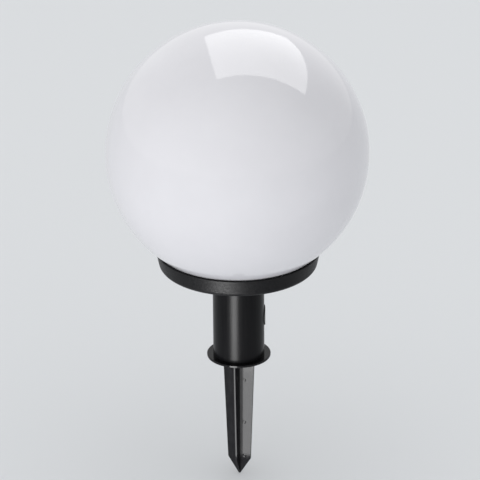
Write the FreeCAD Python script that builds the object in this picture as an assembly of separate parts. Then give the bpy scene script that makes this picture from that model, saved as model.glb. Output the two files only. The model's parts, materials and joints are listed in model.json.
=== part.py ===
import FreeCAD, Part
import math
import os

# A garden globe light on a ground spike, in millimetres.
# The origin is the middle of the ground flange's underside, which lies on the soil: +Z runs up the
# lamp's axis, and -Y faces the viewer. The spike goes down from there and the lamp stands above it.

# Ground spike: a cross of four thin fins under a round flange, with a spigot for the pole above it.
flange_radius = 37.4
flange_thickness = 2.5
flange_edge = 0.8
spike_length = 158.0
spike_shoulder_depth = 137.0
spike_top_radius = 19.3
spike_shoulder_radius = 14.0
spike_tip_radius = 0.8
fin_root_thickness = 2.8
fin_edge_thickness = 2.0
fin_turn_deg = -17.0
spigot_height = 30.0
spigot_wall = 2.2
spigot_chamfer = 1.0
ejector_radius = 2.3
ejector_sink = 0.3
ejector_reach = 6.4
ejector_depths = (32.0, 88.0, 128.0)

# Pole: a plastic tube that drops over the spigot and rises into the collar's hub.
pole_radius = 30.0
pole_wall = 2.5
pole_visible = 113.1
pole_insertion = 19.0

# Collar: a round moulded dish that carries the globe, with a capped hub inside that grips the pole.
collar_top_radius = 95.3
collar_lean = 4.5
collar_height = 21.6
collar_wall = 2.4
collar_floor = 3.0
collar_bottom_round = 6.5
collar_edge = 0.8
hub_wall = 2.7
hub_cap = 3.0
hub_cable_hole_radius = 15.0
hub_foot_reach = 7.25
hub_foot_thickness = 2.0

# Globe: an opal shell with a short neck that turns into the collar.
globe_radius = 150.0
globe_wall = 3.0
globe_neck_wall = 3.5

# Bayonet between the neck's lugs and the collar's hooks, and its seal.
lug_count = 3
lug_reach = 4.4
lug_thickness = 3.0
lug_half_angle = 10.0
hook_half_angle = 12.0
hook_thickness = 2.4
hook_ring_wall = 2.4
stop_angle = 3.0
bayonet_radial_gap = 0.6
bayonet_gap = 0.3
gasket_height = 3.5
gasket_width = 7.0
gasket_groove = 1.0

# Lampholder for a screw-cap bulb, on a plate that closes the hub.
plate_overlap = 1.0
plate_thickness = 2.0
holder_radius = 21.0
holder_wall = 2.4
holder_height = 42.0
holder_base = 3.0
core_height = 9.0
screw_shell_radius = 13.5
screw_shell_wall = 0.5
contact_radius = 3.2
contact_height = 3.0
contact_thickness = 0.8

# Bulb: 60 mm wide and 108 mm long, with a 27 mm screw cap.
bulb_length = 108.0
bulb_radius = 30.0
bulb_wall = 1.6
bulb_housing_bottom = 26.5
bulb_housing_top = 56.0
bulb_housing_foot_radius = 14.2
bulb_cap_radius = 13.1
bulb_cap_wall = 0.4
bulb_cap_foot = 4.0
bulb_tip_radius = 4.6
bulb_tip_height = 1.2
bulb_insulator_radius = 11.0

# Wiring: a two-pole terminal block behind the hub, two leads to the lampholder, and the cord clamp.
terminal_distance = 53.0
terminal_width = 22.0
terminal_depth = 16.0
terminal_height = 13.0
terminal_pad_height = 3.0
terminal_pole_spacing = 10.0
terminal_funnel_radius = 1.9
lead_radius = 1.1
lead_height = 6.5
lead_clearance_to_hub = 4.2
lead_bend = 6.0
lead_grip = 3.0
clamp_distance = 50.0
clamp_length = 28.0
clamp_width = 8.0
clamp_thickness = 2.6
clamp_post_height = 7.5
clamp_post_radius = 3.6
clamp_screw_spacing = 19.0
cable_window_width = 16.0
cable_window_height = 12.0

# Cable entry: a soft grommet in the pole's side.
grommet_height = 49.0
grommet_turn_deg = 8.0
grommet_flange_radius = 12.0
grommet_inner_flange_radius = 11.0
grommet_hole_radius = 9.0
grommet_bore_radius = 4.5
grommet_flange = 1.2
grommet_length = 6.5

# Fasteners.
screw_radius = 1.5
screw_head_radius = 3.0
screw_head_height = 1.9
screw_slot = 0.8
screw_slot_depth = 0.95
screw_slot_reach = 1.65
screw_head_round = 0.85
pole_screw_count = 3
pole_screw_turn_deg = 30.0
pole_screw_length = 8.0
plate_screw_inset = 2.5
plate_screw_length = 8.0
hub_screw_count = 3
hub_screw_reach = 4.15
hub_screw_length = 4.2
holder_screw_distance = 10.5
holder_screw_length = 7.0
clamp_screw_length = 8.5
block_screw_length = 11.0
terminal_screw_radius = 1.7
terminal_screw_height = 5.0

# Clearances.
press_gap = 0.05
rim_gap = 0.6
slide_gap = 0.3
hole_gap = 0.1
hook_top_gap = 1.0

# Heights worked out from the sizes above.
flange_top = flange_thickness
collar_bottom = flange_top + pole_visible
floor_top = collar_bottom + collar_floor
rim_top = collar_bottom + collar_height
pole_top = collar_bottom + pole_insertion
hub_top = pole_top + hub_cap
hub_radius = pole_radius + press_gap + hub_wall
pole_bore = pole_radius - pole_wall
hub_foot_radius = hub_radius + hub_foot_reach
hub_screw_distance = hub_radius + hub_screw_reach
plate_radius = pole_radius + plate_overlap
plate_screw_distance = pole_bore - plate_screw_inset
collar_bottom_radius = collar_top_radius - collar_lean
rim_inner_radius = collar_top_radius - collar_wall
globe_centre = rim_top + math.sqrt((globe_radius + rim_gap) ** 2 - rim_inner_radius ** 2)
gasket_bottom = floor_top - gasket_groove
neck_bottom = gasket_bottom + gasket_height
lug_top = neck_bottom + lug_thickness
hook_bottom = lug_top + bayonet_gap
hook_top = hook_bottom + hook_thickness
hook_inner_radius = math.sqrt(globe_radius ** 2 - (globe_centre - hook_top - hook_top_gap) ** 2)
globe_neck_radius = hook_inner_radius - bayonet_radial_gap
lug_radius = globe_neck_radius + lug_reach
hook_ring_radius = lug_radius + bayonet_radial_gap
plate_top = hub_top + plate_thickness
holder_top = plate_top + holder_height
core_bottom = plate_top + holder_base
core_top = core_bottom + core_height
bulb_bottom = core_top + contact_height
terminal_bottom = floor_top + terminal_pad_height
lead_start = terminal_distance - terminal_depth / 2
lead_level = terminal_bottom + lead_height
lead_end_level = core_bottom + core_height / 2
core_radius = holder_radius - holder_wall - hole_gap

up = FreeCAD.Vector(0, 0, 1)


def point(x, y, z):
    return FreeCAD.Vector(x, y, z)


def disc(radius, bottom, top, x=0.0, y=0.0):
    return Part.makeCylinder(radius, top - bottom, point(x, y, bottom))


def ring(outer, inner, bottom, top):
    return disc(outer, bottom, top).cut(disc(inner, bottom - 1, top + 1))


def box(x0, x1, y0, y1, z0, z1):
    return Part.makeBox(x1 - x0, y1 - y0, z1 - z0, point(x0, y0, z0))


def turned(shape, degrees):
    copy = shape.copy()
    copy.rotate(point(0, 0, 0), up, degrees)
    return copy


def revolved(edges):
    face = Part.Face(Part.Wire(Part.__sortEdges__(edges)))
    return face.revolve(point(0, 0, 0), up, 360)


def polygon(corners):
    path = [point(r, 0, z) for r, z in corners]
    return Part.makePolygon(path + path[:1])


def arc_block(inner, outer, bottom, top, middle, half):
    """A block bent round the axis, from middle - half to middle + half degrees."""
    face = Part.Face(polygon([(inner, bottom), (outer, bottom), (outer, top), (inner, top)]))
    return turned(face.revolve(point(0, 0, 0), up, 2 * half), middle - half)


def joined(shapes):
    first = shapes[0]
    return first.fuse(shapes[1:]).removeSplitter()


def circle_edges(shape, radius, height):
    """The full circles of one radius at one height, for a chamfer or a fillet."""
    found = []
    for edge in shape.Edges:
        curve = edge.Curve
        if isinstance(curve, Part.Circle) and abs(curve.Radius - radius) < 0.01:
            if abs(curve.Center.z - height) < 0.01:
                found.append(edge)
    return found


def pan_screw(length):
    """A pan-head screw that points down from z = 0, with its head above, and a cross slot."""
    head = screw_head_radius
    body = disc(screw_radius, -length, 0).fuse(disc(head, 0, screw_head_height))
    body = body.makeFillet(screw_head_round, circle_edges(body, head, screw_head_height))
    slot_floor = screw_head_height - screw_slot_depth
    reach = screw_slot_reach
    half = screw_slot / 2
    body = body.cut(box(-reach, reach, -half, half, slot_floor, screw_head_height + 1))
    return body.cut(box(-half, half, -reach, reach, slot_floor, screw_head_height + 1))


def placed_down(screw, x, y, z):
    copy = screw.copy()
    copy.translate(point(x, y, z))
    return copy


def placed_inward(screw, seat_radius, level, degrees):
    """The screw pointing at the axis from seat_radius."""
    copy = screw.copy()
    copy.rotate(point(0, 0, 0), point(0, 1, 0), 90)
    copy.translate(point(seat_radius, 0, level))
    return turned(copy, degrees)


def radial_hole(radius, inner, outer, level, degrees):
    hole = Part.makeCylinder(radius, outer - inner, point(inner, 0, level), point(1, 0, 0))
    return turned(hole, degrees)


pole_screw_angles = [pole_screw_turn_deg + i * 360.0 / pole_screw_count for i in range(pole_screw_count)]
pole_screw_level = floor_top + (pole_insertion - collar_floor) / 2
plate_screw_places = [(0.0, side * plate_screw_distance) for side in (-1, 1)]
holder_screw_places = [(side * holder_screw_distance, 0.0) for side in (-1, 1)]
hub_screw_angles = [i * 360.0 / hub_screw_count for i in range(hub_screw_count)]
clamp_screw_places = [(-clamp_distance, side * clamp_screw_spacing / 2) for side in (-1, 1)]
terminal_sides = [side * terminal_pole_spacing / 2 for side in (-1, 1)]


def cable_window():
    """The notch for the supply cable, through the hub and the pole's top on the -X side."""
    return box(-hub_radius - 2, -pole_bore + 3, -cable_window_width / 2, cable_window_width / 2,
               pole_top - cable_window_height, pole_top)


def make_fin(side):
    """One fin, from the axis outwards: thick at the root and thinner at its edge, pointed below."""
    outline = [(0, 0), (spike_top_radius, 0), (spike_shoulder_radius, -spike_shoulder_depth),
               (spike_tip_radius, -spike_length), (0, -spike_length)]
    flat = Part.Face(Part.makePolygon([point(x, -fin_root_thickness, z) for x, z in outline + outline[:1]]))
    slab = flat.extrude(point(0, 2 * fin_root_thickness, 0))
    root = fin_root_thickness / 2
    edge = fin_edge_thickness / 2
    wedge = [(-root, -root), (0, -root), (spike_top_radius, -edge), (spike_top_radius, edge), (0, root),
             (-root, root)]
    section = Part.Face(Part.makePolygon([point(x, y, -spike_length) for x, y in wedge + wedge[:1]]))
    taper = section.extrude(point(0, 0, spike_length))
    return turned(slab.common(taper), side * 90)


def make_spike():
    root = flange_top / 2
    flange = disc(flange_radius, 0, flange_top)
    rims = circle_edges(flange, flange_radius, flange_top)
    flange = flange.makeFillet(flange_edge, rims)
    spigot_radius = pole_bore - slide_gap
    spigot_top = flange_top + spigot_height
    spigot = ring(spigot_radius, spigot_radius - spigot_wall, root, spigot_top)
    spigot = spigot.makeChamfer(spigot_chamfer, circle_edges(spigot, spigot_radius, spigot_top))
    reach = spigot_radius - spigot_wall / 2
    half = fin_root_thickness / 2
    rib = box(-reach, reach, -half, half, root, spigot_top - 2 * spigot_chamfer)
    fins = [make_fin(side) for side in range(4)]
    spike = joined([flange, spigot, rib, turned(rib, 90)] + fins)
    for quarter in range(4):
        for depth in ejector_depths:
            mark = Part.makeCylinder(ejector_radius, half, point(ejector_reach, -2 * half, -depth),
                                     point(0, 1, 0))
            mark.translate(point(0, ejector_sink, 0))
            spike = spike.cut(turned(mark, 90 * quarter))
    return turned(spike, fin_turn_deg)


def make_pole():
    pole = ring(pole_radius, pole_bore, flange_top, pole_top)
    pole = pole.cut(cable_window())
    for degrees in pole_screw_angles:
        pole = pole.cut(radial_hole(screw_radius + hole_gap, pole_bore - 1, pole_radius + 1,
                                    pole_screw_level, degrees))
    return pole.cut(radial_hole(grommet_hole_radius, 0, pole_radius + 1, grommet_height, grommet_turn_deg))


def make_grommet():
    """A soft ring in the pole's side hole, with a flange on each face of the wall."""
    outside = pole_radius + press_gap
    inside = pole_bore - press_gap
    end = pole_radius + grommet_flange
    start = end - grommet_length
    body = radial_hole(grommet_hole_radius - press_gap, start, end + 1, grommet_height, grommet_turn_deg)
    body = body.common(disc(end, 0, pole_top))
    outer = radial_hole(grommet_flange_radius, 0, end + 1, grommet_height, grommet_turn_deg)
    outer = outer.common(ring(end, outside, 0, pole_top))
    inner = radial_hole(grommet_inner_flange_radius, 0, end, grommet_height, grommet_turn_deg)
    inner = inner.common(ring(inside, inside - grommet_flange, 0, pole_top))
    grommet = joined([body, outer, inner])
    return grommet.cut(radial_hole(grommet_bore_radius, 0, end + 1, grommet_height, grommet_turn_deg))


def make_collar():
    bore = pole_radius + press_gap
    dish = Part.Face(polygon([
        (bore, collar_bottom), (collar_bottom_radius, collar_bottom), (collar_top_radius, rim_top),
        (collar_top_radius - collar_wall, rim_top), (collar_bottom_radius - collar_wall, floor_top),
        (bore, floor_top)]))
    dish = dish.revolve(point(0, 0, 0), up, 360)
    dish = dish.makeFillet(collar_bottom_round, circle_edges(dish, collar_bottom_radius, collar_bottom))
    dish = dish.makeFillet(collar_bottom_round - collar_wall,
                           circle_edges(dish, collar_bottom_radius - collar_wall, floor_top))
    dish = dish.makeFillet(collar_edge, circle_edges(dish, collar_top_radius, rim_top))
    sunk = floor_top - collar_floor / 2
    hook_ring = ring(hook_ring_radius + hook_ring_wall, hook_ring_radius, sunk, hook_top)
    shapes = [dish, hook_ring]
    hook_outer = hook_ring_radius + hook_ring_wall / 2
    for i in range(lug_count):
        middle = i * 360.0 / lug_count
        shapes.append(arc_block(hook_inner_radius, hook_outer, hook_bottom, hook_top, middle,
                                hook_half_angle))
        stop_middle = middle - lug_half_angle - stop_angle / 2 - stop_gap_deg()
        shapes.append(arc_block(hook_inner_radius, hook_outer, sunk, hook_top, stop_middle, stop_angle / 2))
    half_width = terminal_width / 2
    shapes.append(box(-half_width, half_width, terminal_distance - terminal_depth / 2,
                      terminal_distance + terminal_depth / 2, sunk, terminal_bottom))
    for x, y in clamp_screw_places:
        shapes.append(disc(clamp_post_radius, sunk, floor_top + clamp_post_height, x, y))
    collar = joined(shapes)
    collar = collar.cut(ring(gasket_outer() + slide_gap, gasket_outer() - gasket_width - slide_gap,
                             gasket_bottom, floor_top + gasket_height))
    hub_screw_tip = floor_top + hub_foot_thickness - hub_screw_length
    for degrees in hub_screw_angles:
        hole = disc(screw_radius + hole_gap, hub_screw_tip - hole_gap, floor_top + 1, hub_screw_distance)
        collar = collar.cut(turned(hole, degrees))
    post_top = floor_top + clamp_post_height
    for x, y in clamp_screw_places:
        depth = clamp_screw_length - clamp_thickness
        collar = collar.cut(disc(screw_radius + hole_gap, post_top - depth - hole_gap, post_top + 1, x, y))
    screw_tip = terminal_bottom + block_screw_seat() - block_screw_length
    return collar.cut(disc(screw_radius + hole_gap, screw_tip - hole_gap, terminal_bottom + 1,
                           0, terminal_distance))


def make_hub():
    """The socket for the pole: a barrel with a foot on the collar's floor and a cap over the pole."""
    bore = pole_radius + press_gap
    barrel = ring(hub_radius, bore, floor_top, hub_top)
    foot = ring(hub_foot_radius, bore, floor_top, floor_top + hub_foot_thickness)
    cap = ring(hub_radius, hub_cable_hole_radius, pole_top, hub_top)
    hub = joined([barrel, foot, cap]).cut(cable_window())
    for degrees in pole_screw_angles:
        hub = hub.cut(radial_hole(screw_radius + hole_gap, pole_radius - 1, hub_radius + 1,
                                  pole_screw_level, degrees))
    for degrees in hub_screw_angles:
        hole = disc(screw_radius + hole_gap, floor_top - 1, hub_top, hub_screw_distance)
        hub = hub.cut(turned(hole, degrees))
    for x, y in plate_screw_places:
        hub = hub.cut(disc(screw_radius + hole_gap, pole_top - 1, hub_top + 1, x, y))
    return hub


def stop_gap_deg():
    """The angle that leaves the bayonet gap between a lug's end and its stop."""
    return math.degrees(bayonet_gap / lug_radius)


def gasket_outer():
    return globe_neck_radius + (gasket_width - globe_neck_wall) / 2


def block_screw_seat():
    """How high above the block's underside the head of its screw sits."""
    return terminal_height - screw_head_height - 1


def make_gasket():
    return ring(gasket_outer(), gasket_outer() - gasket_width, gasket_bottom, neck_bottom)


def make_globe():
    inner_radius = globe_radius - globe_wall
    neck_inner = globe_neck_radius - globe_neck_wall
    outer_join = globe_centre - math.sqrt(globe_radius ** 2 - globe_neck_radius ** 2)
    inner_join = globe_centre - math.sqrt(inner_radius ** 2 - neck_inner ** 2)
    a = point(neck_inner, 0, neck_bottom)
    b = point(globe_neck_radius, 0, neck_bottom)
    c = point(globe_neck_radius, 0, outer_join)
    d = point(0, 0, globe_centre + globe_radius)
    e = point(0, 0, globe_centre + inner_radius)
    f = point(neck_inner, 0, inner_join)
    outside = Part.Arc(c, point(globe_radius, 0, globe_centre), d).toShape()
    inside = Part.Arc(e, point(inner_radius, 0, globe_centre), f).toShape()
    lines = [Part.makeLine(a, b), Part.makeLine(b, c), outside, Part.makeLine(d, e), inside,
             Part.makeLine(f, a)]
    shell = revolved(lines)
    lugs = []
    for i in range(lug_count):
        lugs.append(arc_block(globe_neck_radius - globe_neck_wall / 2, lug_radius, neck_bottom, lug_top,
                              i * 360.0 / lug_count, lug_half_angle))
    return joined([shell] + lugs)


def make_plate():
    plate = disc(plate_radius, hub_top, plate_top)
    for x, y in plate_screw_places:
        plate = plate.cut(disc(screw_radius + hole_gap, hub_top - 1, plate_top + 1, x, y))
    for x, y in holder_screw_places:
        plate = plate.cut(disc(screw_radius + hole_gap, hub_top - 1, plate_top + 1, x, y))
    return plate


def make_holder_body():
    """The lampholder's housing: a cup with a thick base, two screw holes and two lead holes."""
    body = disc(holder_radius, plate_top, holder_top)
    body = body.makeFillet(collar_edge, circle_edges(body, holder_radius, holder_top))
    body = body.cut(disc(holder_radius - holder_wall, core_bottom, holder_top + 1))
    for x, y in holder_screw_places:
        body = body.cut(disc(screw_radius + hole_gap, plate_top - 1, core_bottom + 1, x, y))
    for x in terminal_sides:
        body = body.cut(lead_hole(x, 0, holder_radius + 1))
    return body


def lead_hole(x, start, end):
    return Part.makeCylinder(lead_radius + hole_gap, end - start, point(x, start, lead_end_level),
                             point(0, 1, 0))


def lead_end():
    return math.sqrt(core_radius ** 2 - (terminal_pole_spacing / 2) ** 2) - lead_grip


def make_holder_core():
    """The ceramic insulator inside the lampholder, which carries the contacts."""
    core = disc(core_radius, core_bottom, core_top)
    for x, y in holder_screw_places:
        core = core.cut(disc(screw_radius + hole_gap, core_bottom - 1, screw_tip_in_core() + hole_gap, x, y))
    for x in terminal_sides:
        core = core.cut(lead_hole(x, lead_end(), core_radius + 1))
    return core


def screw_tip_in_core():
    """The lampholder screws come up through the plate from below."""
    return hub_top + holder_screw_length


def make_holder_shell():
    """The plain-bored sleeve that takes the bulb's screw cap, with a foot flange on the core."""
    outer = screw_shell_radius + screw_shell_wall
    sleeve = ring(outer, screw_shell_radius, core_top, holder_top - 2 * collar_edge)
    foot = ring(outer + 2, screw_shell_radius - 2, core_top, core_top + 2 * screw_shell_wall)
    return joined([sleeve, foot])


def make_holder_contact():
    """The centre contact: a foot, a riser and a flat tongue that touches the bulb's tip."""
    foot = box(-contact_radius, contact_radius, -contact_radius, contact_radius,
               core_top, core_top + contact_thickness)
    riser = box(-contact_radius, contact_thickness - contact_radius, -contact_radius, contact_radius,
                core_top, bulb_bottom)
    tongue = box(-contact_radius, contact_radius, -contact_radius, contact_radius,
                 bulb_bottom - contact_thickness, bulb_bottom)
    return joined([foot, riser, tongue])


def make_bulb_tip():
    return disc(bulb_tip_radius, bulb_bottom, bulb_bottom + bulb_tip_height)


def make_bulb_insulator():
    """The glass cone between the tip and the screw cap."""
    low = bulb_bottom + bulb_tip_height
    high = bulb_bottom + bulb_cap_foot
    return Part.makeCone(bulb_tip_radius, bulb_insulator_radius, high - low, point(0, 0, low))


def make_bulb_cap():
    low = bulb_bottom + bulb_cap_foot
    high = bulb_bottom + bulb_housing_bottom
    outside = disc(bulb_cap_radius, low, high)
    return outside.cut(disc(bulb_cap_radius - bulb_cap_wall, low + bulb_cap_wall, high + 1))


def make_bulb_housing():
    """The bulb's tapered body, with a plug that fills the screw cap."""
    foot = bulb_bottom + bulb_housing_bottom
    top = bulb_bottom + bulb_housing_top
    waist = foot + (top - foot) / 2
    rim = bulb_radius - bulb_wall
    start = point(bulb_housing_foot_radius, 0, foot)
    middle = point((bulb_housing_foot_radius + rim) / 2 - bulb_wall, 0, waist)
    end = point(rim, 0, top)
    flank = Part.Arc(start, middle, end).toShape()
    bottom = Part.makeLine(point(0, 0, foot), start)
    cover = Part.makeLine(end, point(0, 0, top))
    axis = Part.makeLine(point(0, 0, top), point(0, 0, foot))
    flared = revolved([bottom, flank, cover, axis])
    plug_bottom = bulb_bottom + bulb_cap_foot + bulb_cap_wall
    plug = disc(bulb_cap_radius - bulb_cap_wall - press_gap, plug_bottom, foot + 1)
    return joined([flared, plug])


def dome_flank(rim, widest, low, middle):
    """The arc from the rim at low up to the widest radius at middle, where it stands upright."""
    inset = widest - rim
    rise = middle - low
    radius = (inset ** 2 + rise ** 2) / (2 * inset)
    half = math.asin(rise / radius) / 2
    centre = widest - radius
    via = point(centre + radius * math.cos(half), 0, middle - radius * math.sin(half))
    return Part.Arc(point(rim, 0, low), via, point(widest, 0, middle)).toShape()


def dome_cap(radius, middle):
    """The quarter circle from the widest point to the top."""
    diagonal = radius * math.sqrt(0.5)
    return Part.Arc(point(radius, 0, middle), point(diagonal, 0, middle + diagonal),
                    point(0, 0, middle + radius)).toShape()


def make_bulb_dome():
    """The bulb's hollow diffuser, from the housing's rim over the top."""
    low = bulb_bottom + bulb_housing_top
    middle = bulb_bottom + bulb_length - bulb_radius
    rim = bulb_radius - bulb_wall
    inner_rim = rim - bulb_wall
    inner_radius = bulb_radius - bulb_wall
    return revolved([
        dome_flank(rim, bulb_radius, low, middle), dome_cap(bulb_radius, middle),
        Part.makeLine(point(0, 0, middle + bulb_radius), point(0, 0, middle + inner_radius)),
        dome_cap(inner_radius, middle), dome_flank(inner_rim, inner_radius, low, middle),
        Part.makeLine(point(inner_rim, 0, low), point(rim, 0, low))])


def make_terminal_block():
    block = box(-terminal_width / 2, terminal_width / 2, terminal_distance - terminal_depth / 2,
                terminal_distance + terminal_depth / 2, terminal_bottom, terminal_bottom + terminal_height)
    groove = terminal_height / 3
    seat = terminal_bottom + block_screw_seat()
    block = block.cut(disc(screw_radius + hole_gap, terminal_bottom - 1, seat + 1, 0, terminal_distance))
    block = block.cut(disc(screw_head_radius + hole_gap, seat, seat + groove + screw_head_height, 0,
                           terminal_distance))
    for x in terminal_sides:
        tunnel = Part.makeCylinder(terminal_funnel_radius, lead_grip, point(x, lead_start, lead_level),
                                   point(0, 1, 0))
        entry = Part.makeCylinder(terminal_funnel_radius, lead_grip,
                                  point(x, lead_start + terminal_depth, lead_level), point(0, -1, 0))
        block = block.cut(tunnel).cut(entry)
        for y in terminal_screw_rows():
            block = block.cut(disc(terminal_screw_radius + hole_gap, terminal_screw_bottom(),
                                   terminal_bottom + terminal_height + 1, x, y))
    return block


def terminal_screw_rows():
    return [terminal_distance + side * terminal_depth / 4 for side in (-1, 1)]


def terminal_screw_bottom():
    return terminal_bottom + terminal_height - terminal_screw_height


def make_terminal_screws():
    screws = []
    for x in terminal_sides:
        for y in terminal_screw_rows():
            low = terminal_screw_bottom()
            top = low + terminal_screw_height - 1
            screw = disc(terminal_screw_radius, low, top, x, y)
            slot = box(x - terminal_screw_radius, x + terminal_screw_radius, y - screw_slot / 2,
                       y + screw_slot / 2, top - screw_slot, top + 1)
            screws.append(screw.cut(slot))
    return Part.makeCompound(screws)


def make_lead(x):
    """One insulated lead: out of the block, up beside the hub and into the lampholder."""
    riser = hub_radius + lead_clearance_to_hub
    start = point(x, lead_start + lead_grip, lead_level)
    low = point(x, riser, lead_level)
    high = point(x, riser, lead_end_level)
    end = point(x, lead_end(), lead_end_level)
    bend = lead_bend
    corner = bend * (1 - math.sqrt(0.5))
    low_arc = Part.Arc(low + point(0, bend, 0), low + point(0, corner, corner), low + point(0, 0, bend))
    high_arc = Part.Arc(high + point(0, 0, -bend), high + point(0, -corner, -corner),
                        high + point(0, -bend, 0))
    path = Part.Wire([
        Part.makeLine(start, low + point(0, bend, 0)), low_arc.toShape(),
        Part.makeLine(low + point(0, 0, bend), high + point(0, 0, -bend)), high_arc.toShape(),
        Part.makeLine(high + point(0, -bend, 0), end)])
    section = Part.Wire([Part.makeCircle(lead_radius, start, point(0, -1, 0))])
    return path.makePipeShell([section], True, True)


def make_clamp():
    post_top = floor_top + clamp_post_height
    bar = box(-clamp_distance - clamp_width / 2, -clamp_distance + clamp_width / 2,
              -clamp_length / 2, clamp_length / 2, post_top, post_top + clamp_thickness)
    for x, y in clamp_screw_places:
        bar = bar.cut(disc(screw_radius + hole_gap, post_top - 1, post_top + clamp_thickness + 1, x, y))
    return bar


def make_pole_screws():
    screw = pan_screw(pole_screw_length)
    return Part.makeCompound([placed_inward(screw, hub_radius, pole_screw_level, degrees)
                              for degrees in pole_screw_angles])


def make_plate_screws():
    screw = pan_screw(plate_screw_length)
    return Part.makeCompound([placed_down(screw, x, y, plate_top) for x, y in plate_screw_places])


def make_hub_screws():
    screw = pan_screw(hub_screw_length)
    seat = floor_top + hub_foot_thickness
    return Part.makeCompound([turned(placed_down(screw, hub_screw_distance, 0, seat), degrees)
                              for degrees in hub_screw_angles])


def make_holder_screws():
    """These point up, from under the plate into the ceramic core."""
    screw = pan_screw(holder_screw_length)
    screw.rotate(point(0, 0, 0), point(1, 0, 0), 180)
    return Part.makeCompound([placed_down(screw, x, y, hub_top) for x, y in holder_screw_places])


def make_clamp_screws():
    screw = pan_screw(clamp_screw_length)
    seat = floor_top + clamp_post_height + clamp_thickness
    return Part.makeCompound([placed_down(screw, x, y, seat) for x, y in clamp_screw_places])


def make_block_screw():
    return placed_down(pan_screw(block_screw_length), 0, terminal_distance,
                       terminal_bottom + block_screw_seat())


nodes = {
    "ground_spike": make_spike(),
    "pole_tube": make_pole(),
    "cable_grommet": make_grommet(),
    "base_collar": make_collar(),
    "pole_hub": make_hub(),
    "pole_hub_screws": make_hub_screws(),
    "pole_screws": make_pole_screws(),
    "globe_gasket": make_gasket(),
    "globe_diffuser": make_globe(),
    "holder_plate": make_plate(),
    "holder_plate_screws": make_plate_screws(),
    "lampholder_body": make_holder_body(),
    "lampholder_core": make_holder_core(),
    "lampholder_screws": make_holder_screws(),
    "lampholder_sleeve": make_holder_shell(),
    "lampholder_contact": make_holder_contact(),
    "terminal_block": make_terminal_block(),
    "terminal_block_screw": make_block_screw(),
    "terminal_screws": make_terminal_screws(),
    "lead_live": make_lead(terminal_sides[0]),
    "lead_neutral": make_lead(terminal_sides[1]),
    "cord_clamp": make_clamp(),
    "cord_clamp_screws": make_clamp_screws(),
    "bulb_tip_contact": make_bulb_tip(),
    "bulb_insulator": make_bulb_insulator(),
    "bulb_screw_cap": make_bulb_cap(),
    "bulb_housing": make_bulb_housing(),
    "bulb_dome": make_bulb_dome(),
}

os.makedirs("parts", exist_ok=True)
for name, shape in nodes.items():
    shape.exportStep("parts/" + name + ".step")
    print(name, len(shape.Solids), "solid(s)", round(shape.Volume, 1), "mm3", shape.isValid())
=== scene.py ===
import json
import math

import bmesh
import bpy
from mathutils import Matrix, Vector


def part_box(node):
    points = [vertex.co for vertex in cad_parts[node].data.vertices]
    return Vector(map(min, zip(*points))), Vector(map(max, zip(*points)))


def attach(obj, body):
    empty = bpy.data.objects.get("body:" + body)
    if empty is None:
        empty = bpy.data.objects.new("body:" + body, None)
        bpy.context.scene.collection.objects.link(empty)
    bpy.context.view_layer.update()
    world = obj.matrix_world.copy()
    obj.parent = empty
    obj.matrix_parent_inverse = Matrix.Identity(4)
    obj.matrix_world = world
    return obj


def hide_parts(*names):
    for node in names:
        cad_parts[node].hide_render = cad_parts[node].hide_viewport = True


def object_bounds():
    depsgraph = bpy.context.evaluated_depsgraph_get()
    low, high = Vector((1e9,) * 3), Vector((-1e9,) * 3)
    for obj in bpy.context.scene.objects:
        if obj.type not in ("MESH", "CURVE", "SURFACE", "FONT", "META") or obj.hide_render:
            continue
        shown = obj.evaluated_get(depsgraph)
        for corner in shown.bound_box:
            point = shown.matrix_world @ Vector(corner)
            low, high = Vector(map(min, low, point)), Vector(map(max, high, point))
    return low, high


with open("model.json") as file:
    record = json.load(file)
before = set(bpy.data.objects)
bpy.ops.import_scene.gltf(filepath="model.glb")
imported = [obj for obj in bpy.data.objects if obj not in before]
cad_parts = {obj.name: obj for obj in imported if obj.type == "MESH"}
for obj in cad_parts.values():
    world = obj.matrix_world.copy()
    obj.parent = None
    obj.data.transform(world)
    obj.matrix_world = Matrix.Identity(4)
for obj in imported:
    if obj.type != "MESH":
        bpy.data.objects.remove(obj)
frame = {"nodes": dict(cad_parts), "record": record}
bpy.context.view_layer.update()
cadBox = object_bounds()
nodes = frame["nodes"]
print("frame loaded:", len(nodes), "nodes")

# camera, at the photo's angle
view = {
    "elevation": 24.0,                  # degrees above level
    "distance": 3.2,
    "roll": -0.39,                      # the lamp leans that many degrees in the picture
    "target": (0.0022, 0.0, 0.1464),    # the lamp stands two pixels left of the middle
    "lens": 208.0,
}


def setCamera():
    camera = bpy.data.objects.new("camera", bpy.data.cameras.new("camera"))
    bpy.context.scene.collection.objects.link(camera)
    camera.data.lens = view["lens"]
    camera.data.clip_end = 80.0
    tilt = math.radians(view["elevation"])
    place = Vector(view["target"]) + view["distance"] * Vector((0.0, -math.cos(tilt), math.sin(tilt)))
    lean = Matrix.Rotation(math.radians(view["roll"]), 4, "Z")
    camera.matrix_world = Matrix.Translation(place) @ Matrix.Rotation(math.pi / 2 - tilt, 4, "X") @ lean
    bpy.context.scene.camera = camera


setCamera()
print("camera set")


def linearColour(code):
    values = [int(code[i:i + 2], 16) / 255 for i in (0, 2, 4)]
    return [v / 12.92 if v <= 0.04045 else ((v + 0.055) / 1.055) ** 2.4 for v in values] + [1.0]


def patternScale(millimetres):
    return 1000.0 / millimetres          # object coordinates are in metres


def addNode(tree, kind, inputs=None, **settings):
    node = tree.nodes.new("ShaderNode" + kind)
    for name, value in settings.items():
        setattr(node, name, value)
    for name, value in (inputs or {}).items():
        if isinstance(value, bpy.types.NodeSocket):
            tree.links.new(value, node.inputs[name])
        else:
            node.inputs[name].default_value = value
    return node


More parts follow.
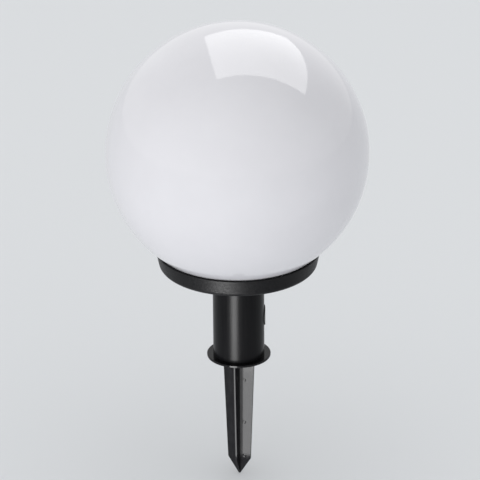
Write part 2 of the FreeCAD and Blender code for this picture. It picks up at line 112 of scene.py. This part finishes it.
def newMaterial(name):
    material = bpy.data.materials.new(name)
    material.use_nodes = True
    tree = material.node_tree
    tree.nodes.clear()
    shader = addNode(tree, "BsdfPrincipled")
    addNode(tree, "OutputMaterial", {"Surface": shader.outputs["BSDF"]})
    place = addNode(tree, "TexCoord").outputs["Object"]
    return material, tree, shader, place


def setRamp(ramp, stops):
    # a ramp starts out with two elements, one for each stop
    for element, (position, colour) in zip(ramp.color_ramp.elements, stops):
        element.position = position
        element.color = colour
    return ramp.outputs["Color"]


def surface(name, colour, speckle, roughness, spread, grain, bump, stretch=(1.0, 1.0, 1.0), **sockets):
    # grain is the pattern's size and bump its depth, both in mm
    material, tree, shader, place = newMaterial(name)
    placed = addNode(tree, "Mapping", {"Vector": place, "Scale": stretch})
    noise = addNode(tree, "TexNoise", {"Vector": placed.outputs["Vector"], "Scale": patternScale(grain),
                                       "Detail": 3.0, "Roughness": 0.6})
    tone = setRamp(addNode(tree, "ValToRGB", {"Fac": noise.outputs["Fac"]}),
                   [(0.32, linearColour(colour)), (0.72, linearColour(speckle))])
    tree.links.new(tone, shader.inputs["Base Color"])
    rough = addNode(tree, "MapRange", {"Value": noise.outputs["Fac"], "From Min": 0.3, "From Max": 0.7,
                                       "To Min": roughness - spread, "To Max": roughness + spread})
    tree.links.new(rough.outputs["Result"], shader.inputs["Roughness"])
    relief = addNode(tree, "Bump", {"Height": noise.outputs["Fac"], "Strength": 1.0, "Distance": bump / 1000})
    tree.links.new(relief.outputs["Normal"], shader.inputs["Normal"])
    for socket, value in sockets.items():
        shader.inputs[socket.replace("_", " ")].default_value = value
    return material


drawn = (1.0, 1.0, 0.03)      # a pattern pulled out along the tube

materials = {
    # opal acrylic, blow moulded: milky and even, with a hard gloss that mirrors the lamps
    "opal": surface("opalAcrylic", "E2E1E5", "E5E4E8", 0.06, 0.01, 60, 0.05, IOR=1.49),
    # polypropylene from a spark-eroded mould: matt, and its highlights break up into grains; the grain
    # is drawn at 1.8 mm, about twice the real one, so that it shows
    "collar_plastic": surface("grainedPolypropylene", "050506", "0F0F10", 0.42, 0.1, 1.8, 0.22, IOR=1.49,
                              Specular_IOR_Level=0.12),
    # extruded tube: satin, with faint lines along its length
    "pole_plastic": surface("extrudedTube", "050506", "09090A", 0.3, 0.03, 2.2, 0.02, drawn, IOR=1.49,
                            Specular_IOR_Level=0.1),
    # polypropylene from a polished mould: glossy, with a slow waviness where it sank
    "spike_plastic": surface("glossyPolypropylene", "060607", "0C0C0D", 0.12, 0.03, 7.0, 0.012, IOR=1.49,
                             Specular_IOR_Level=0.16),
    # soft moulded rubber: dull, nearly no highlight
    "rubber": surface("mouldedRubber", "121212", "191919", 0.6, 0.05, 1.0, 0.03, IOR=1.5),
    # zinc-plated steel: pale, bright and slightly cloudy
    "steel": surface("zincSteel", "B8B9B8", "C9CAC8", 0.32, 0.08, 1.0, 0.01, Metallic=1.0),
    # moulded silicone: pale and waxy
    "silicone": surface("mouldedSilicone", "C4C4C2", "CBCBC8", 0.5, 0.05, 2.0, 0.02, IOR=1.42),
    # glass-filled polyamide: matt, with a fine cloudiness
    "black_plate": surface("blackPolyamide", "242424", "2B2B2B", 0.45, 0.06, 1.5, 0.03, IOR=1.53),
    # pressed thermoset: hard and half glossy
    "holder_plastic": surface("blackThermoset", "222224", "2A2A2C", 0.38, 0.05, 1.5, 0.02, IOR=1.55),
    # unglazed steatite: chalky, off-white
    "ceramic": surface("pressedSteatite", "E3E0D8", "EBE8E1", 0.42, 0.06, 0.8, 0.03, IOR=1.6),
    # pressed brass: yellow and bright
    "brass": surface("pressedBrass", "CFAE66", "DABB78", 0.26, 0.06, 2.0, 0.01, Metallic=1.0),
    # natural polyamide: milky
    "terminal_plastic": surface("milkyPolyamide", "E0E0DC", "E8E8E5", 0.34, 0.04, 3.0, 0.01, IOR=1.53),
    # extruded insulation: soft shine along the wire
    "lead_brown": surface("brownInsulation", "6B3A1E", "75431F", 0.4, 0.04, 2.0, 0.01, IOR=1.53),
    "lead_blue": surface("blueInsulation", "1B4F9C", "2358A6", 0.4, 0.04, 2.0, 0.01, IOR=1.53),
    # tinned contact: dull grey metal
    "solder": surface("tinnedSolder", "B9B8B3", "C6C5C1", 0.36, 0.08, 1.2, 0.03, Metallic=1.0),
    # black glass insulator: deep gloss
    "black_glass": surface("blackVitrite", "131315", "1A1A1C", 0.12, 0.03, 2.0, 0.01, IOR=1.52),
    # nickel-plated shell: warm silver
    "nickel": surface("nickelShell", "C5C2BA", "D2CFC8", 0.22, 0.05, 1.5, 0.01, Metallic=1.0),
    # moulded polybutylene: white, half glossy
    "bulb_white": surface("whitePolybutylene", "E6E6E3", "EEEEEC", 0.4, 0.05, 1.5, 0.02, IOR=1.55),
    # frosted polycarbonate: soft white with no clear reflection
    "bulb_diffuser": surface("frostedPolycarbonate", "EEEEEB", "F4F4F2", 0.5, 0.04, 2.0, 0.01, IOR=1.58),
}

for part in frame["record"]["subparts"]:
    node = nodes[part["node"]]
    node.data.materials.clear()
    node.data.materials.append(materials[part["material_slot"]])
print("materials made")


def mm(value):
    return value / 1000.0


def addWire(bm, corners):
    # an open chain in the plane of the axis, corners as (radius, height) in metres
    chain = [bm.verts.new((radius, 0.0, height)) for radius, height in corners]
    for low, high in zip(chain, chain[1:]):
        bm.edges.new((low, high))
    return chain


def roundCorners(bm, corners, offset, segments=4):
    # corners of an open chain, before it is spun
    bmesh.ops.bevel(bm, geom=corners, offset=offset, offset_type="OFFSET", affect="VERTICES",
                    segments=segments, profile=0.5, material=-1)


def spinRound(bm, geometry, steps):
    bmesh.ops.spin(bm, geom=geometry, cent=(0, 0, 0), axis=(0, 0, 1), dvec=(0, 0, 0), angle=math.tau,
                   steps=steps, use_merge=True, use_duplicate=False)


def finishPiece(name, bm, body, slot, replaced, sharpAngle=32.0):
    bmesh.ops.remove_doubles(bm, verts=bm.verts, dist=1e-6)
    bmesh.ops.recalc_face_normals(bm, faces=bm.faces)
    for face in bm.faces:
        face.smooth = True
    for edge in bm.edges:
        edge.smooth = edge.calc_face_angle(0.0) < math.radians(sharpAngle)
    mesh = bpy.data.meshes.new(name)
    bm.to_mesh(mesh)
    bm.free()
    mesh.materials.append(materials[slot])
    piece = bpy.data.objects.new(name, mesh)
    bpy.context.scene.collection.objects.link(piece)
    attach(piece, body)
    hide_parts(replaced)
    return piece


# ground spike: flange, spigot and four fins
spike = {
    "flangeRadius": mm(37.4),
    "flangeTop": mm(2.5),
    "flangeEdge": mm(0.8),
    "spigotRadius": mm(27.2),
    "spigotWall": mm(2.2),
    "spigotTop": mm(32.5),
    "spigotEdge": mm(1.0),
    "ribTop": mm(30.5),
    "rootHalf": mm(1.4),
    "edgeHalf": mm(1.0),
    "topReach": mm(19.3),
    "shoulder": (mm(-137.0), mm(14.0), mm(1.11)),   # height, reach and half thickness there
    "tip": (mm(-158.0), mm(1.15), mm(0.85)),
    "tipCore": mm(0.8),         # the core's corners at the tip
    "finRound": mm(0.35),
    "turn": -17.0,              # degrees round the axis
    "markRadius": mm(1.9),
    "markGroove": mm(0.6),      # radius of the groove's section
    "markSink": mm(0.4),
    "markReach": mm(6.4),
    "markDepths": (mm(33.0), mm(88.5), mm(134.0)),
    "markSteps": 28,
    "flangeSteps": 144,
    "spigotSteps": 112,
}


def placeArms(verts, height, reach, half, core):
    # the ends of the four arms go out to the reach, and the core's corners stay at the root
    for vert in verts:
        vert.co.z = height
        flat = Vector((vert.co.x, vert.co.y))
        if abs(abs(flat.x) - abs(flat.y)) < mm(0.01):
            vert.co.xy = (math.copysign(core, flat.x), math.copysign(core, flat.y))
        elif abs(flat.x) > abs(flat.y):
            vert.co.xy = (math.copysign(reach, flat.x), math.copysign(half, flat.y))
        else:
            vert.co.xy = (math.copysign(half, flat.x), math.copysign(reach, flat.y))


def makeFins():
    bm = bmesh.new()
    root = spike["rootHalf"]
    bmesh.ops.create_circle(bm, cap_ends=True, segments=4, radius=root * math.sqrt(2.0),
                            matrix=Matrix.Rotation(math.pi / 4, 4, "Z"))
    for edge in bm.edges[:]:
        outwards = (edge.verts[0].co + edge.verts[1].co).normalized()
        arm = bmesh.ops.extrude_edge_only(bm, edges=[edge])["geom"]
        bmesh.ops.translate(bm, verts=[g for g in arm if isinstance(g, bmesh.types.BMVert)],
                            vec=outwards * (spike["topReach"] - root))
    placeArms(bm.verts, spike["flangeTop"] / 2, spike["topReach"], spike["edgeHalf"], root)
    for height, reach, half in (spike["shoulder"], spike["tip"]):
        bottom = min(v.co.z for v in bm.verts)
        upper = [face for face in bm.faces if face.calc_center_median().z <= bottom + 1e-7]
        grown = bmesh.ops.extrude_face_region(bm, geom=upper)["geom"]
        lower = [g for g in grown if isinstance(g, bmesh.types.BMVert)]
        placeArms(lower, height, reach, half, root if reach > root else spike["tipCore"])
        if reach < root:
            bmesh.ops.delete(bm, geom=upper, context="FACES_ONLY")
    bmesh.ops.recalc_face_normals(bm, faces=bm.faces)
    # the long edges at the ends of the four arms
    outer = [e for e in bm.edges if abs(e.verts[0].co.z - e.verts[1].co.z) > mm(5.0)
             and min(max(abs(v.co.x), abs(v.co.y)) for v in e.verts) > spike["tip"][1] * 0.9
             and max(max(abs(v.co.x), abs(v.co.y)) for v in e.verts) > root * 2]
    bmesh.ops.bevel(bm, geom=outer, offset=spike["finRound"], offset_type="OFFSET", affect="EDGES",
                    segments=3, profile=0.5, material=-1)
    return bm


def makeMarkCutter():
    # the round feet of the ejector pins, one row on each fin, each with a shallow groove round it
    bm = bmesh.new()
    groove = spike["markGroove"]
    for quarter in range(4):
        turn = Matrix.Rotation(quarter * math.pi / 2, 4, "Z")
        for down in spike["markDepths"]:
            x = spike["markReach"]
            face = -(spike["rootHalf"] - (spike["rootHalf"] - spike["edgeHalf"]) * x / spike["topReach"])
            place = Matrix.Translation((x, face - groove + spike["markSink"], -down))
            upright = turn @ place @ Matrix.Rotation(math.pi / 2, 4, "X")
            ring = bmesh.ops.create_circle(bm, segments=10, radius=groove)["verts"]
            bmesh.ops.transform(bm, verts=ring, matrix=upright @ Matrix.Translation((spike["markRadius"], 0, 0))
                                @ Matrix.Rotation(math.pi / 2, 4, "X"))
            edges = list(dict.fromkeys(e for v in ring for e in v.link_edges))
            bmesh.ops.spin(bm, geom=ring + edges, cent=upright.translation, axis=upright.col[2].xyz,
                           dvec=(0, 0, 0), angle=math.tau, steps=spike["markSteps"], use_merge=True,
                           use_duplicate=False)
    bmesh.ops.recalc_face_normals(bm, faces=bm.faces)
    mesh = bpy.data.meshes.new("markCutter")
    bm.to_mesh(mesh)
    bm.free()
    return bpy.data.objects.new("markCutter", mesh)


def cutMarks(bm):
    # the cut is made on a scratch object and read back
    mesh = bpy.data.meshes.new("uncutFins")
    bm.to_mesh(mesh)
    bm.free()
    fins = bpy.data.objects.new("uncutFins", mesh)
    cutter = makeMarkCutter()
    for scratch in (fins, cutter):
        bpy.context.scene.collection.objects.link(scratch)
    cut = fins.modifiers.new("marks", "BOOLEAN")
    cut.operation = "DIFFERENCE"
    cut.solver = "EXACT"
    cut.object = cutter
    bpy.context.view_layer.update()
    result = bpy.data.meshes.new_from_object(fins.evaluated_get(bpy.context.evaluated_depsgraph_get()))
    done = bmesh.new()
    done.from_mesh(result)
    for scratch in (fins, cutter):
        bpy.data.objects.remove(scratch)
    return done


def makeSpike():
    bm = cutMarks(makeFins())
    radius = spike["flangeRadius"]
    top = spike["flangeTop"]
    start = len(bm.verts)
    flange = addWire(bm, [(0.0, 0.0), (radius, 0.0), (radius, top), (0.0, top)])
    roundCorners(bm, flange[2:3], spike["flangeEdge"], 5)
    roundCorners(bm, flange[1:2], spike["flangeEdge"] / 3, 2)
    bm.verts.ensure_lookup_table()
    ring = bm.verts[start:]
    spinRound(bm, ring + [e for e in bm.edges if e.is_wire], spike["flangeSteps"])
    outer = spike["spigotRadius"]
    inner = outer - spike["spigotWall"]
    rise = spike["spigotTop"]
    spigot = addWire(bm, [(inner, top / 2), (inner, rise), (outer, rise), (outer, top / 2)])
    roundCorners(bm, spigot[2:3], spike["spigotEdge"], 3)
    roundCorners(bm, spigot[1:2], spike["spigotEdge"] / 3, 2)
    wires = [e for e in bm.edges if e.is_wire]
    spinRound(bm, list(dict.fromkeys(v for e in wires for v in e.verts)) + wires, spike["spigotSteps"])
    for turn in (0.0, math.pi / 2):
        rib = bmesh.ops.create_cube(bm, size=1.0)["verts"]
        bmesh.ops.scale(bm, verts=rib, vec=(2 * inner + spike["spigotWall"], 2 * spike["rootHalf"],
                                            spike["ribTop"] - top / 2))
        bmesh.ops.translate(bm, verts=rib, vec=(0, 0, (spike["ribTop"] + top / 2) / 2))
        bmesh.ops.rotate(bm, verts=rib, cent=(0, 0, 0), matrix=Matrix.Rotation(turn, 3, "Z"))
        upperEdges = [e for e in dict.fromkeys(e for v in rib for e in v.link_edges)
                      if min(v.co.z for v in e.verts) > spike["ribTop"] - mm(0.01)]
        bmesh.ops.bevel(bm, geom=upperEdges, offset=spike["finRound"], offset_type="OFFSET", affect="EDGES",
                        segments=2, profile=0.5, material=-1)
    bmesh.ops.rotate(bm, verts=bm.verts, cent=(0, 0, 0),
                     matrix=Matrix.Rotation(math.radians(spike["turn"]), 3, "Z"))
    moulding = finishPiece("spikeMoulding", bm, "spike", "spike_plastic", "ground_spike")
    moulding.modifiers.new("flatFaces", "WEIGHTED_NORMAL").keep_sharp = True


makeSpike()
print("spike made")

# globe: an opal shell with a neck and three lugs
globe = {
    "radius": mm(150.0),
    "wall": mm(3.0),
    "neckWall": mm(3.5),
    "neckRound": mm(1.2),
    "lipRound": mm(0.9),
    "lugReach": mm(4.4),
    "lugThickness": mm(3.0),
    "lugHalfAngle": 10.0,       # degrees
    "lugClear": 4.0,            # degrees beside a lug in which the neck isn't measured
    "lugRound": mm(0.5),
    "lugSteps": 12,
    "profileSteps": 84,
    "steps": 160,
}


def neckRadius():
    # the globe's lowest ring between its lugs
    mesh = nodes["globe_diffuser"].data
    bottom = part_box("globe_diffuser")[0][2]
    clear = globe["lugHalfAngle"] + globe["lugClear"]
    rings = [v.co.xy.length for v in mesh.vertices if v.co.z < bottom + mm(0.05)
             and abs(math.remainder(math.atan2(v.co.y, v.co.x), math.tau / 3)) > math.radians(clear)]
    return max(rings)


def makeGlobe():
    low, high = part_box("globe_diffuser")
    radius = globe["radius"]
    inner = radius - globe["wall"]
    centre = Vector((0, 0, high[2] - radius))
    bottom = low[2]
    neck = neckRadius()
    neckInner = neck - globe["neckWall"]
    bm = bmesh.new()
    top = bm.verts.new(centre + Vector((0, 0, radius)))
    sweep = math.pi - math.asin(neck / radius)
    last = bmesh.ops.spin(bm, geom=[top], cent=centre, axis=(0, 1, 0), dvec=(0, 0, 0), angle=sweep,
                          steps=globe["profileSteps"], use_merge=False,
                          use_duplicate=False)["geom_last"][0]
    inside = bm.verts.new(centre + Vector((0, 0, inner)))
    sweep = math.pi - math.asin(neckInner / inner)
    end = bmesh.ops.spin(bm, geom=[inside], cent=centre, axis=(0, 1, 0), dvec=(0, 0, 0), angle=sweep,
                         steps=globe["profileSteps"], use_merge=False,
                         use_duplicate=False)["geom_last"][0]
    lip = addWire(bm, [(neck, bottom), (neckInner, bottom)])
    bm.edges.new((last, lip[0]))
    bm.edges.new((lip[1], end))
    roundCorners(bm, lip, globe["lipRound"])
    roundCorners(bm, [last, end], globe["neckRound"])
    spinRound(bm, bm.verts[:] + bm.edges[:], globe["steps"])
    for third in range(3):
        reach = neck + globe["lugReach"]
        corners = [(neckInner + globe["neckWall"] / 2, bottom + globe["lipRound"]),
                   (reach, bottom + globe["lipRound"] / 2), (reach, bottom + globe["lugThickness"]),
                   (neckInner + globe["neckWall"] / 2, bottom + globe["lugThickness"])]
        start = math.radians(third * 120.0 - globe["lugHalfAngle"])
        section = bm.faces.new([bm.verts.new((r * math.cos(start), r * math.sin(start), z))
                                for r, z in corners])
        before = set(bm.edges)
        bmesh.ops.spin(bm, geom=[section] + section.edges[:] + section.verts[:], cent=(0, 0, 0),
                       axis=(0, 0, 1), dvec=(0, 0, 0), angle=math.radians(2 * globe["lugHalfAngle"]),
                       steps=globe["lugSteps"], use_merge=False, use_duplicate=False)
        outer = [e for e in bm.edges if e not in before
                 and min(v.co.xy.length for v in e.verts) > reach - mm(0.05)
                 and e.calc_face_angle(0.0) > 1.0]
        bmesh.ops.bevel(bm, geom=outer, offset=globe["lugRound"], offset_type="OFFSET", affect="EDGES",
                        segments=2, profile=0.5, material=-1)
    finishPiece("globeShell", bm, "globe", "opal", "globe_diffuser")


makeGlobe()
print("globe made, neck radius", round(1000 * neckRadius(), 2), "mm")

# rolled thread of the bulb's cap and of the sleeve round it
thread = {
    "pitch": mm(3.629),
    "capCrest": mm(13.1),
    "capDepth": mm(1.0),
    "crestRound": 0.24,         # share of the pitch
    "sharpAngle": 60.0,
    "capWall": mm(0.35),
    "sleeveGap": mm(0.35),
    "sleeveWall": mm(0.35),
    "steps": 72,
}


def makeThread(name, node, shift, wall, body, slot):
    # a zigzag of crests and roots, rounded, wound up by one pitch a turn and trimmed to the node's height
    low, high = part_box(node)
    pitch = thread["pitch"]
    crest = thread["capCrest"] + shift
    count = int((high[2] - low[2]) / pitch) + 3
    base = low[2] - 1.5 * pitch - (low[2] % pitch)
    bm = bmesh.new()
    corners = [(crest - (i % 2) * thread["capDepth"], base + i * pitch / 2) for i in range(2 * count + 1)]
    chain = addWire(bm, corners)
    roundCorners(bm, chain[1:-1], pitch * thread["crestRound"])
    bmesh.ops.spin(bm, geom=bm.verts[:] + bm.edges[:], cent=(0, 0, 0), axis=(0, 0, 1),
                   dvec=(0, 0, pitch / thread["steps"]), angle=math.tau, steps=thread["steps"],
                   use_merge=False, use_duplicate=False)
    bmesh.ops.remove_doubles(bm, verts=bm.verts, dist=mm(0.02))
    for height, up in ((low[2], -1), (high[2], 1)):
        bmesh.ops.bisect_plane(bm, geom=bm.verts[:] + bm.edges[:] + bm.faces[:], plane_co=(0, 0, height),
                               plane_no=(0, 0, up), clear_outer=True)
    bmesh.ops.recalc_face_normals(bm, faces=bm.faces)
    if sum(f.normal.dot(Vector((*f.calc_center_median().xy, 0.0))) for f in bm.faces) < 0.0:
        bmesh.ops.reverse_faces(bm, faces=bm.faces)
    bmesh.ops.solidify(bm, geom=bm.faces[:], thickness=wall)
    finishPiece(name, bm, body, slot, node, thread["sharpAngle"])


makeThread("threadedCap", "bulb_screw_cap", 0.0, thread["capWall"], "bulb", "nickel")
makeThread("threadedSleeve", "lampholder_sleeve", thread["sleeveGap"] + thread["sleeveWall"],
           thread["sleeveWall"], "lamp", "brass")
print("threads made")

# floor and light
studio = {
    "floorDrop": 0.0006,
    "floorRadius": 20.0,
    "floorSteps": 96,
    "floorColour": "D6D8DA",
    "worldColour": "F8F9FA",
    "worldStrength": 0.74,      # for the light that it sheds; it is seen at full strength
    "windowNear": 1.2,
    "windowFar": 0.55,
    "fillFrom": -31.0,          # degrees round the lamp, seen from its front
    "fillDistance": 2.15,
    "fillHeight": 0.23,
}
# the globe mirrors the panel overhead; the others light the back of the globe, the floor and the front
panels = {
    "overheadPanel": {"at": (0.25, 1.50, 1.68), "across": (1.702, 0.189, -0.629),
                      "up": (-0.26, 3.732, -0.032), "size": (1.82, 3.01), "power": 41.0},
    "backPanel": {"at": (0.08, 2.11, 1.80), "across": (1.0, 0.0, 0.0), "up": (0.0, 0.592, -0.811),
                  "size": (1.2, 1.2), "power": 31.0},
    "floorPanel": {"at": (0.0, 0.4, 6.0), "across": (1.0, 0.0, 0.0), "up": (0.0, 1.0, 0.0),
                   "size": (24.0, 24.0), "power": 720.0},
    "frontFill": {"up": (0.0, 0.0, 1.0), "size": (1.4, 0.7), "power": 15.0},
}
# strips that only the black parts see; each stands so near that they mirror it above the floor
strips = {
    "poleStrip": {"from": -31.0, "to": -7.0, "distance": 0.3, "heights": (-0.155, 0.09), "radiance": 24.0},
    "spikeStrip": {"from": -34.0, "to": 5.0, "distance": 0.05, "heights": (-0.2, -0.01), "radiance": 12.6},
}
blackParts = [nodes[name] for name in ("base_collar", "pole_tube", "cable_grommet")]
blackParts.append(bpy.data.objects["spikeMoulding"])


def makeFloor():
    mesh = bpy.data.meshes.new("floor")
    bm = bmesh.new()
    bmesh.ops.create_circle(bm, cap_ends=True, segments=studio["floorSteps"], radius=studio["floorRadius"])
    bmesh.ops.translate(bm, verts=bm.verts, vec=(0, 0, cadBox[0].z - studio["floorDrop"]))
    bm.to_mesh(mesh)
    bm.free()
    floor = bpy.data.objects.new("floor", mesh)
    bpy.context.scene.collection.objects.link(floor)
    # matt paper, plain
    material, _, shader, _ = newMaterial("studioPaper")
    shader.inputs["Base Color"].default_value = linearColour(studio["floorColour"])
    shader.inputs["Roughness"].default_value = 0.9
    shader.inputs["Specular IOR Level"].default_value = 0.2
    mesh.materials.append(material)


def addPanel(name, at, across, up, size, power):
    light = bpy.data.lights.new(name, "AREA")
    light.shape = "RECTANGLE"
    light.size, light.size_y = size
    light.energy = power
    panel = bpy.data.objects.new(name, light)
    bpy.context.scene.collection.objects.link(panel)
    x = Vector(across).normalized()
    y = Vector(up)
    y = (y - y.dot(x) * x).normalized()
    panel.matrix_world = Matrix.Translation(at) @ Matrix((x, y, x.cross(y))).transposed().to_4x4()
    panel.visible_camera = False
    return panel


def aimAt(panel, pieces, state="INCLUDE"):
    # the panel lights only these pieces, or everything but them
    group = bpy.data.collections.new(panel.name + "Pieces")
    for piece in pieces:
        group.objects.link(piece)
    for link in group.collection_objects:
        link.light_linking.link_state = state
    panel.light_linking.receiver_collection = group
    return group


def roundLamp(degrees, distance):
    # a place round the lamp: 0 is in front of it, negative is to its left
    turn = math.radians(degrees)
    return Vector((math.sin(turn) * distance, -math.cos(turn) * distance, 0.0))


def lightWorld():
    world = bpy.data.worlds.new("studio")
    bpy.context.scene.world = world
    world.use_nodes = True
    tree = world.node_tree
    sky = tree.nodes["Background"]
    sky.inputs["Color"].default_value = linearColour(studio["worldColour"])
    # the camera and mirrored rays see it white, and it lights the lamp a little less than that
    ray = addNode(tree, "LightPath")
    seen = addNode(tree, "Math", operation="MAXIMUM")
    tree.links.new(ray.outputs["Is Camera Ray"], seen.inputs[0])
    tree.links.new(ray.outputs["Is Glossy Ray"], seen.inputs[1])
    strength = addNode(tree, "MapRange", {"Value": seen.outputs["Value"], "To Min": studio["worldStrength"]})
    tree.links.new(strength.outputs["Result"], sky.inputs["Strength"])


def fadePanel(panel, near, far):
    # the far end is dimmer, so that the globe's rim, where its reflection is strongest, stays below white
    panel.data.use_nodes = True
    tree = panel.data.node_tree
    along = addNode(tree, "SeparateXYZ", {"Vector": addNode(tree, "NewGeometry").outputs["Parametric"]})
    fade = addNode(tree, "MapRange", {"Value": along.outputs["Y"], "To Min": near, "To Max": far})
    tree.links.new(fade.outputs["Result"], tree.nodes["Emission"].inputs["Strength"])


def lightStudio():
    shell = bpy.data.objects["globeShell"]
    floor = bpy.data.objects["floor"]
    window = addPanel("overheadPanel", **panels["overheadPanel"])
    window.visible_diffuse = False
    fadePanel(window, studio["windowNear"], studio["windowFar"])
    aimAt(window, blackParts, "EXCLUDE")
    back = addPanel("backPanel", **panels["backPanel"])
    back.visible_glossy = False
    aimAt(back, [shell])
    aimAt(addPanel("floorPanel", **panels["floorPanel"]), [floor])
    side = studio["fillFrom"]
    place = roundLamp(side, studio["fillDistance"]) + Vector((0, 0, studio["fillHeight"]))
    fill = addPanel("frontFill", place, roundLamp(side + 90.0, 1.0), **panels["frontFill"])
    fill.visible_glossy = False
    aimAt(fill, [floor], "EXCLUDE")
    for name, strip in strips.items():
        first = roundLamp(strip["from"], strip["distance"])
        last = roundLamp(strip["to"], strip["distance"])
        low, high = strip["heights"]
        middle = (first + last) / 2 + Vector((0, 0, (low + high) / 2))
        size = ((last - first).length, high - low)
        panel = addPanel(name, middle, last - first, (0.0, 0.0, 1.0), size,
                         strip["radiance"] * math.pi * size[0] * size[1])
        panel.light_linking.blocker_collection = aimAt(panel, blackParts)


makeFloor()
lightWorld()
lightStudio()
print("studio lit")

bpy.context.scene.view_settings.view_transform = "Standard"
bpy.context.view_layer.update()
